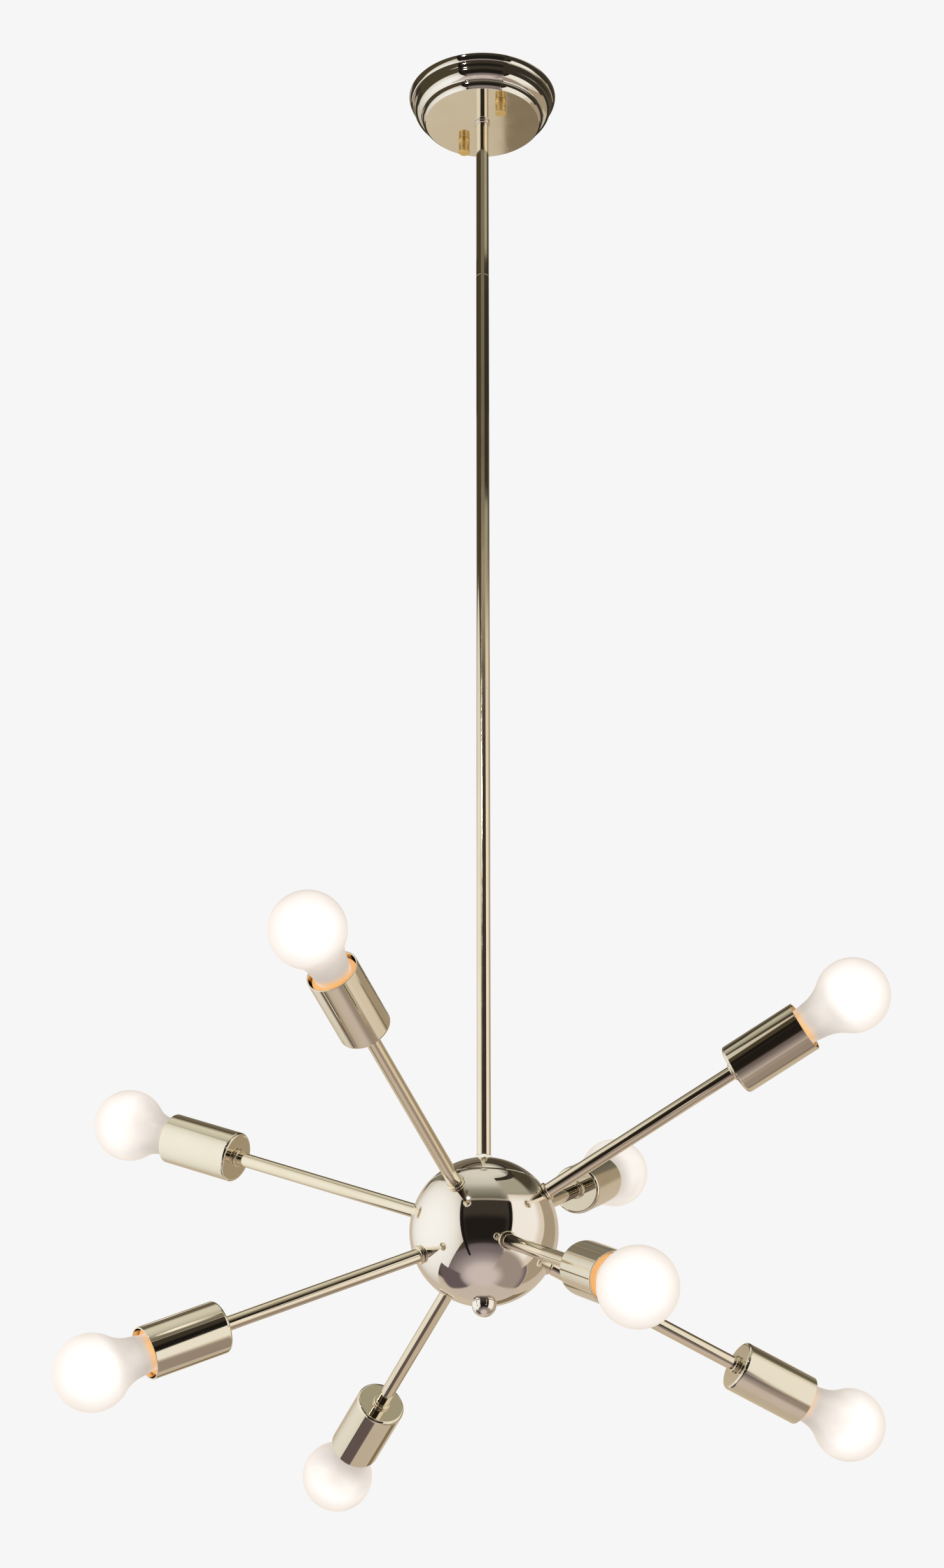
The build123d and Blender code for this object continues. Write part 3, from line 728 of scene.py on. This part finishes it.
def holderOutline():
    h, hole = holderShape, places["threadRadius"]
    mouth, floor, soft = h["mouth"], h["boreFloor"], h["stepRound"]
    step = mouth - h["lipDepth"]
    return softened([(hole, h["start"]), (h["radius"], h["start"], h["endRound"]),
                     (h["radius"], step, soft), (h["lip"], step + h["lipSlope"], soft),
                     (h["lip"], mouth, h["mouthRound"]),
                     (h["bore"] + h["flare"], mouth, h["mouthRound"]),
                     (h["bore"], mouth - h["flareDepth"], soft), (h["bore"], floor), (0, floor),
                     (0, h["rodEnd"]), (hole, h["rodEnd"])])


onArms("holderBodies", turnedMesh("holderBody", [holderOutline()], 64), creamHolder,
       ["lampholders"])


linerShape = {"outer": 13.3, "inner": 13.12, "low": 281.0, "step": 0.3, "rows": 69}
linerHeights = [linerShape["low"] + linerShape["step"] * row for row in range(linerShape["rows"])]
linerLine = [(linerShape["outer"], z) for z in linerHeights]
linerLine += [(linerShape["inner"], z) for z in reversed(linerHeights)]
onArms("holderLiners", turnedMesh("holderLiner", [linerLine], 48), linerBrass)

tabShape = {"radius": 5.2, "low": 276.12, "high": 276.32, "edgeRound": 0.05, "support": 0.02}
tabLine = softened([(0, tabShape["low"]), (tabShape["radius"], tabShape["low"], tabShape["edgeRound"]),
                    (tabShape["radius"], tabShape["high"], tabShape["edgeRound"]), (0, tabShape["high"])],
                   support=tabShape["support"])
onArms("holderContacts", turnedMesh("holderContact", [tabLine], 32), linerBrass)
print("arms and cups made")


bulbShape = {"radius": 30.0, "wall": 0.9, "reach": 353.3, "blendAngle": 39.0, "blendRadius": 33.6,
             "neckSlope": 6.0, "neckEnd": 14.2, "crownSteps": 40, "neckSteps": 14}
shellShape = {"top": 304.0, "radius": 13.0, "low": 280.8, "edge": 0.4, "foot": 1.4, "footDepth": 0.3,
              "row": 0.33, "threadLow": 281.8, "threadHigh": 300.5, "threadDepth": 0.9, "pitch": 3.63,
              "fade": 1.5}
insulatorShape = {"top": 280.6, "radius": 11.6, "topRound": 0.3, "low": 277.2, "foot": 8.0,
                  "footRound": 0.5}
tipShape = {"top": 277.3, "radius": 4.5, "side": 276.8, "taper": 0.3, "sideRound": 0.3, "low": 276.4,
            "foot": 2.6, "footRound": 0.5, "support": 0.05}


def threadWave(radius, height, angle):
    # presses a rounded screw thread into the shell between its ends
    c = shellShape
    fade = max(0.0, min(1.0, (height - c["threadLow"]) / c["fade"], (c["threadHigh"] - height) / c["fade"]))
    turn = height / c["pitch"] - angle / (2 * math.pi)
    return radius - fade * c["threadDepth"] * (0.5 - 0.5 * math.cos(2 * math.pi * turn))


def bulbOutline(inset):
    b = bulbShape
    radius, waist = b["radius"] - inset, b["blendRadius"] + inset
    reach, blend = radius + waist, math.radians(b["blendAngle"])
    centre = (reach * math.cos(blend), b["reach"] - reach * math.sin(blend))
    crown = arcSpots(0, b["reach"], radius, 90, -b["blendAngle"], b["crownSteps"])
    hollow = arcSpots(*centre, waist, 180 - b["blendAngle"], 180 - b["neckSlope"], b["neckSteps"])
    return [(0, crown[0][1]), *crown[1:], *hollow[1:], (b["neckEnd"] - inset, shellShape["top"])]


def shellOutline():
    c = shellShape
    top, radius, foot = c["top"], c["radius"], c["low"] - c["footDepth"]
    count = int((top - c["low"]) / c["row"])
    rows = [(radius, top - c["row"] * row) for row in range(1, count + 1)]
    return [(0, top), (radius - c["edge"], top), *rows, (radius - c["foot"], foot), (0, foot)]


def insulatorOutline():
    c = insulatorShape
    return softened([(0, c["top"]), (c["radius"], c["top"], c["topRound"]),
                     (c["foot"], c["low"], c["footRound"]), (0, c["low"])])


def tipOutline():
    c = tipShape
    return softened([(0, c["top"]), (c["radius"], c["top"]),
                     (c["radius"] - c["taper"], c["side"], c["sideRound"]),
                     (c["foot"], c["low"], c["footRound"]), (0, c["low"])], support=c["support"])


glassMesh = turnedMesh("glass", [bulbOutline(0) + bulbOutline(bulbShape["wall"])[::-1]], 96, sharp=60)
shellMesh = turnedMesh("shell", [shellOutline()], 72, wave=threadWave, sharp=50)
insulatorMesh = turnedMesh("insulator", [insulatorOutline()], 48)
tipMesh = turnedMesh("tip", [tipOutline()], 32)
for k in armNumbers:
    onArms(f"bulbGlass{k}", glassMesh, lampGlass, [f"bulb_glass_{k}"], k)
    onArms(f"bulbShell{k}", shellMesh, shellNickel, [f"bulb_base_{k}"], k)
    onArms(f"bulbInsulator{k}", insulatorMesh, blackInsulator, (), k)
    onArms(f"bulbTip{k}", tipMesh, solderTip, (), k)
print("bulbs made")


# the front's heading is counted from +X, and the staged pieces' places from the front
studio = {"frontHeading": 330.8, "background": 246, "fill": 0.62, "fillColour": (255, 250, 243),
          "lampPower": 0.42, "lampSpread": 50, "lampColour": (1.0, 0.97, 0.93)}


def staged(name, mesh, finish, onlyMirrored=True):
    # a studio piece; most are seen in the polished metal and nowhere else
    piece = bpy.data.objects.new(name, mesh)
    bpy.context.scene.collection.objects.link(piece)
    mesh.materials.append(finish)
    if onlyMirrored:
        piece.visible_camera = piece.visible_diffuse = False
        piece.visible_shadow = piece.visible_transmission = False
    return piece


def glowFinish(name, colour=(255, 255, 255), strength=1.0):
    finish = bpy.data.materials.new(name)
    finish.use_nodes = True
    tree = finish.node_tree
    tree.nodes.clear()
    light = addNode(tree, "ShaderNodeEmission", [("Color", shade(*colour)), ("Strength", strength)])
    addNode(tree, "ShaderNodeOutputMaterial", [("Surface", light.outputs[0])])
    return finish


def towards(aside, height=0.0):
    # the unit vector at so many degrees right of the front and above the level
    heading, rise = math.radians(studio["frontHeading"] + aside), math.radians(height)
    return Vector((math.cos(rise) * math.cos(heading), math.cos(rise) * math.sin(heading), math.sin(rise)))


floorLook = {"height": -3.3, "reach": 90.0, "lift": 0.31, "glow": (247, 250, 255)}
floorMesh = bpy.data.meshes.new("floor")
corners = [(x * floorLook["reach"], y * floorLook["reach"], floorLook["height"])
           for x, y in ((-1, -1), (1, -1), (1, 1), (-1, 1))]
floorMesh.from_pydata(corners, [], [(0, 1, 2, 3)])
floorPaint = plainPart("floorPaint", (240, 239, 237), (238, 237, 234), 0.7, 0.85, 0, 3, 0.0)
floor = staged("floor", floorMesh, floorPaint, False)
floor.visible_glossy = False
# the camera sees the floor as light as the background, and its light on the lamp stays the same
tree, surface = floorPaint.node_tree, floorPaint.node_tree.nodes["Principled BSDF"]
rays = addNode(tree, "ShaderNodeLightPath").outputs
seen = reckon(tree, "MAXIMUM", rays["Is Camera Ray"], rays["Is Transmission Ray"])
tree.links.new(reckon(tree, "MULTIPLY", seen, floorLook["lift"]), surface.inputs["Emission Strength"])
surface.inputs["Emission Color"].default_value = shade(*floorLook["glow"])

# the room at the left and behind the camera, the far span, lies further off than the rest of the tent
tent = {"radius": 2.6, "farRadius": 12.0, "farSpan": (-152, 42), "farEdge": 5.0,
        "warmth": (1.04, 1.07, 1.12)}
# what the polished metal mirrors: left and right edge, low and high edge in degrees, softness, colour
zones = [
    ("upperRight", 34, 100, 38, 68, 18, (165, 158, 137)),
    ("upperBackRight", 92, 180, 42, 72, 14, (74, 65, 50)),
    ("upperBackLeft", -180, -112, 46, 80, 18, (112, 100, 82)),
    ("leftRoom", -130, -30, -40, 47, 7, (74, 64, 47)),
    ("rightBox", 41, 104, -44, 40, 3, (220, 206, 186)),
    ("rightBoxCore", 40, 90, -38, 35, 13, (244, 237, 227)),
    ("rightWall", 104, 141, -34, 41, 3, (166, 149, 125)),
    ("floorRight", 42, 150, -84, -40, 10, (156, 141, 130)),
    ("frontDark", -36, 42, -36, 31, 3, (60, 53, 45)),
    ("frontLow", -33, 36, -34, 6, 14, (32, 28, 24)),
    ("floorBack", -180, -146, -90, -30, 7, (196, 182, 166)),
    ("floorBackRight", 146, 180, -90, -30, 7, (196, 182, 166)),
    ("floorLeft", -147, -99, -60, -33, 7, (100, 87, 86)),
    ("leftFlag", -36.5, -31.5, -52, 34, 1.6, (26, 22, 20)),
    ("rightFlag", 38, 43.5, -37, 29, 1.6, (26, 22, 19)),
    ("floorUnder", -180, 180, -90, -70, 16, (203, 188, 180)),
    ("discBeige", -180, -164, -24, -8, 1.5, (204, 188, 162)),
    ("discBeigeEdge", 178.9, 180.5, -24, -8, 0.12, (204, 188, 162)),
    ("discBrown", 160, 178.9, -24, -8, 0.12, (134, 117, 91)),
]
# colours by height alone, under the zones: the floor in front and the ceiling
heights = [(-90, (203, 188, 180)), (-68, (185, 172, 166)), (-58, (152, 140, 136)), (-47, (120, 107, 105)),
           (-36, (104, 93, 93)), (-34, (200, 184, 163)), (31, (200, 184, 163)), (34, (102, 96, 82)),
           (48, (150, 143, 125)), (60, (200, 196, 180)), (75, (216, 210, 193))]


def softSpan(tree, value, low, high, edge):
    # 1 between low and high, falling off over the edge
    sides = [addNode(tree, "ShaderNodeMapRange", [("Value", value), ("From Min", start), ("From Max", end)],
                     interpolation_type="SMOOTHSTEP")
             for start, end in ((low - edge / 2, low + edge / 2), (high + edge / 2, high - edge / 2))]
    return reckon(tree, "MULTIPLY", sides[0].outputs[0], sides[1].outputs[0])


def makeTentLight():
    finish = glowFinish("tentLight")
    tree = finish.node_tree
    spot = addNode(tree, "ShaderNodeTexCoord").outputs["Object"]
    centred = addNode(tree, "ShaderNodeMapping", [("Vector", spot), ("Location", -ballCentre)]).outputs[0]
    away = addNode(tree, "ShaderNodeVectorMath", [(0, centred)], operation="NORMALIZE").outputs[0]
    split = addNode(tree, "ShaderNodeSeparateXYZ", [("Vector", away)]).outputs
    degrees = reckon(tree, "MULTIPLY", reckon(tree, "ARCTAN2", split["Y"], split["X"]), 180 / math.pi)
    aside = reckon(tree, "WRAP", reckon(tree, "ADD", degrees, 360 - studio["frontHeading"]), 180.0, -180.0)
    height = reckon(tree, "MULTIPLY", reckon(tree, "ARCSINE", split["Z"]), 180 / math.pi)
    ramp = addNode(tree, "ShaderNodeValToRGB", [("Fac", ranged(tree, height, 0.0, 1.0, -90.0, 90.0))])
    stops = ramp.color_ramp.elements
    for index, (level, tint) in enumerate(heights):
        stop = stops[index] if index < 2 else stops.new(1.0)
        stop.position, stop.color = (level + 90) / 180, shade(*tint)
    colour = ramp.outputs["Color"]
    for name, left, right, low, high, edge, tint in zones:
        # a zone that ends at the back or straight down has no soft edge there
        across = softSpan(tree, aside, -200 if left <= -180 else left, 200 if right >= 180 else right, edge)
        upward = softSpan(tree, height, -100 if low <= -90 else low, high, edge)
        colour = blended(tree, reckon(tree, "MULTIPLY", across, upward), colour, shade(*tint))
    warmed = addNode(tree, "ShaderNodeVectorMath", [(0, colour), (1, tent["warmth"])], operation="MULTIPLY")
    tree.links.new(warmed.outputs[0], tree.nodes["Emission"].inputs["Color"])
    return finish


tentBall = bmesh.new()
bmesh.ops.create_icosphere(tentBall, subdivisions=6, radius=1.0)
bmesh.ops.reverse_faces(tentBall, faces=tentBall.faces)
front, (farLeft, farRight) = math.radians(studio["frontHeading"]), tent["farSpan"]
for vertex in tentBall.verts:
    aside = math.degrees((math.atan2(vertex.co.y, vertex.co.x) - front + math.pi) % (2 * math.pi) - math.pi)
    far = max(0.0, min(1.0, (aside - farLeft) / tent["farEdge"], (farRight - aside) / tent["farEdge"]))
    vertex.co *= tent["radius"] + far * (tent["farRadius"] - tent["radius"])
tentMesh = meshOf("studioTent", tentBall)
tentMesh.transform(ballPlace)
staged("studioTent", tentMesh, makeTentLight())

# the left softbox, a flat panel beside the arms, shorter at the rear and greyer away from its middle
panel = {"aside": -92, "away": 0.68, "top": 0.97, "foot": -0.68, "rearFoot": -0.476, "rear": -0.97,
         "step": -0.07, "front": 1.0, "middle": (0.12, 0.1), "spread": 1.05, "cells": 12,
         "bright": (252, 253, 252), "dim": (208, 202, 191), "level": 1.03}


def makePanel():
    out, along = towards(panel["aside"]), towards(panel["aside"] + 90)
    bm = bmesh.new()
    tones = []
    for left, right, low in ((panel["rear"], panel["step"], panel["rearFoot"]),
                             (panel["step"], panel["front"], panel["foot"])):
        grid = []
        for column in range(panel["cells"] + 1):
            u = left + (right - left) * column / panel["cells"]
            cells = []
            for row in range(panel["cells"] + 1):
                v = low + (panel["top"] - low) * row / panel["cells"]
                cells.append(bm.verts.new(ballCentre + out * panel["away"] + along * u + Vector((0, 0, v))))
                off = math.hypot(u - panel["middle"][0], v - panel["middle"][1])
                away = min(1.0, off / panel["spread"]) ** 2
                tones += [b + (d - b) * away for b, d in zip(shade(*panel["bright"]), shade(*panel["dim"]))]
            grid.append(cells)
        for here, after in zip(grid, grid[1:]):
            for row in range(panel["cells"]):
                bm.faces.new((here[row], here[row + 1], after[row + 1], after[row]))
    mesh = meshOf("leftPanel", bm)
    layer = mesh.attributes.new("tone", "FLOAT_COLOR", "POINT")
    layer.data.foreach_set("color", tones)
    finish = glowFinish("panelCloth", strength=panel["level"])
    tree = finish.node_tree
    tone = addNode(tree, "ShaderNodeAttribute", attribute_name="tone").outputs["Color"]
    tree.links.new(tone, tree.nodes["Emission"].inputs["Color"])
    staged("leftPanel", mesh, finish)


makePanel()

# a small bare lamp before the canopy
sparkLook = {"aside": -26, "reach": 2.2, "height": 0.35, "size": 0.07, "level": 70,
             "colour": (255, 248, 236)}
spark = bmesh.new()
bmesh.ops.create_icosphere(spark, subdivisions=3, radius=sparkLook["size"])
sparkMesh = meshOf("sparkLamp", spark)
sparkSpot = towards(sparkLook["aside"]) * sparkLook["reach"] + Vector((0, 0, sparkLook["height"]))
sparkMesh.transform(Matrix.Translation(sparkSpot))
staged("sparkLamp", sparkMesh, glowFinish("sparkGlow", sparkLook["colour"], sparkLook["level"]))

# dark boards in the room, level with the canopy; each span is its left and right edge and its foot
boards = {"away": 0.5, "top": 0.16, "spans": ((30, 106, -0.147), (106, 254, -0.04)), "steps": 24,
          "colour": (55, 50, 43)}


def makeBoards():
    bm = bmesh.new()
    for left, right, foot in boards["spans"]:
        rows = []
        for step in range(boards["steps"] + 1):
            spot = towards(left + (right - left) * step / boards["steps"]) * boards["away"]
            rows.append([bm.verts.new((spot.x, spot.y, height)) for height in (foot, boards["top"])])
        for here, after in zip(rows, rows[1:]):
            bm.faces.new((*here, *after[::-1]))
    staged("darkBoards", meshOf("darkBoards", bm), glowFinish("boardCloth", boards["colour"]))


makeBoards()


def makeWorld():
    world = bpy.data.worlds.new("studioAir")
    bpy.context.scene.world = world
    world.use_nodes = True
    tree = world.node_tree
    tree.nodes.clear()
    rays = addNode(tree, "ShaderNodeLightPath").outputs
    seen = reckon(tree, "MAXIMUM", rays["Is Camera Ray"], rays["Is Glossy Ray"])
    seen = reckon(tree, "MAXIMUM", seen, rays["Is Transmission Ray"])
    fill = addNode(tree, "ShaderNodeBackground",
                   [("Color", shade(*studio["fillColour"])), ("Strength", studio["fill"])])
    backdrop = addNode(tree, "ShaderNodeBackground",
                       [("Color", shade(*[studio["background"]] * 3)), ("Strength", 1.0)])
    mixed = addNode(tree, "ShaderNodeMixShader",
                    [(0, seen), (1, fill.outputs[0]), (2, backdrop.outputs[0])])
    addNode(tree, "ShaderNodeOutputWorld", [("Surface", mixed.outputs[0])])


makeWorld()

# name, degrees right of the front, height in degrees, share of the power
for name, aside, height, share in (("leftSoftLight", -72, 24, 1.0), ("rightSoftLight", 64, 20, 0.7)):
    lamp = bpy.data.lights.new(name, "SUN")
    lamp.energy = studio["lampPower"] * share
    lamp.angle = math.radians(studio["lampSpread"])
    lamp.color = studio["lampColour"]
    box = bpy.data.objects.new(name, lamp)
    bpy.context.scene.collection.objects.link(box)
    box.rotation_euler = towards(aside, height).to_track_quat("Z", "Y").to_euler()
    box.visible_camera = box.visible_glossy = False

view = {"place": (2.4063, -1.3559, -2.0819), "heading": 150.8, "pitch": 26.25, "lens": 82.9,
        "sensor": 36, "clip": (0.05, 100)}
heading, pitch = math.radians(view["heading"]), math.radians(view["pitch"])
ahead = Vector((math.cos(pitch) * math.cos(heading), math.cos(pitch) * math.sin(heading), math.sin(pitch)))
right = Vector((math.sin(heading), -math.cos(heading), 0))
cameraData = bpy.data.cameras.new("camera")
cameraData.lens = view["lens"]
cameraData.sensor_width = view["sensor"]
cameraData.clip_start, cameraData.clip_end = view["clip"]
camera = bpy.data.objects.new("camera", cameraData)
bpy.context.scene.collection.objects.link(camera)
turn = Matrix((right, right.cross(ahead), -ahead)).transposed()
camera.matrix_world = Matrix.Translation(view["place"]) @ turn.to_4x4()
bpy.context.scene.camera = camera
bpy.context.scene.view_settings.view_transform = "Standard"
print("studio made")
